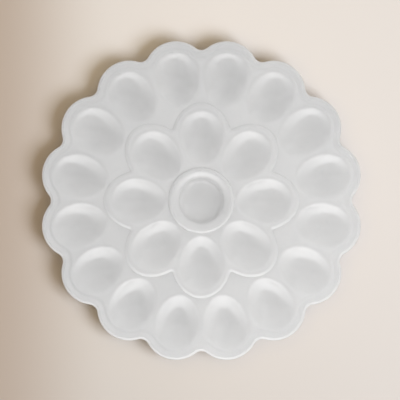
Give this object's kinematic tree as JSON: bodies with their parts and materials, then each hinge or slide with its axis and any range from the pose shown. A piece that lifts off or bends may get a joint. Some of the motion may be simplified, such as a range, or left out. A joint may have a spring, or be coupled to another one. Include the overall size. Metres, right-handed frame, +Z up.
{
  "type": "egg holder tray",
  "caption": "Flower-shaped glazed serving tray with egg-shaped wells, a lift-out petal tray in its middle, a lift-out dip cup and non-slip bumpers.",
  "frame": {"origin": "centre of the tray in plan, at the level of the table under its bumpers", "axes": "+Z up out of the wells; +X and +Y in the table plane, with a gap between two rim lobes and the axis of one petal on each of them"},
  "size_m": [0.3178, 0.3178, 0.0278],
  "materials": {
    "outer_tray_glaze": "glossy white glaze on porcelain",
    "inner_tray_glaze": "glossy white glaze on porcelain",
    "dip_cup_glaze": "glossy white glaze on porcelain",
    "bumper_silicone": "matt translucent white silicone"
  },
  "bodies": {
    "outer_tray": {"outer_tray": "outer_tray_glaze", "foot_1": "bumper_silicone", "foot_2": "bumper_silicone", "foot_3": "bumper_silicone", "foot_4": "bumper_silicone", "foot_5": "bumper_silicone", "foot_6": "bumper_silicone", "foot_7": "bumper_silicone", "foot_8": "bumper_silicone"},
    "inner_tray": {"inner_tray": "inner_tray_glaze"},
    "dip_cup": {"dip_cup": "dip_cup_glaze"}
  },
  "joints": [
    {"name": "inner_tray_lift", "type": "slide", "parent": "outer_tray", "child": "inner_tray", "axis": [0, 0, 1], "range_m": [0, 0.06]},
    {"name": "dip_cup_lift", "type": "slide", "parent": "inner_tray", "child": "dip_cup", "axis": [0, 0, 1], "range_m": [0, 0.05]}
  ]
}
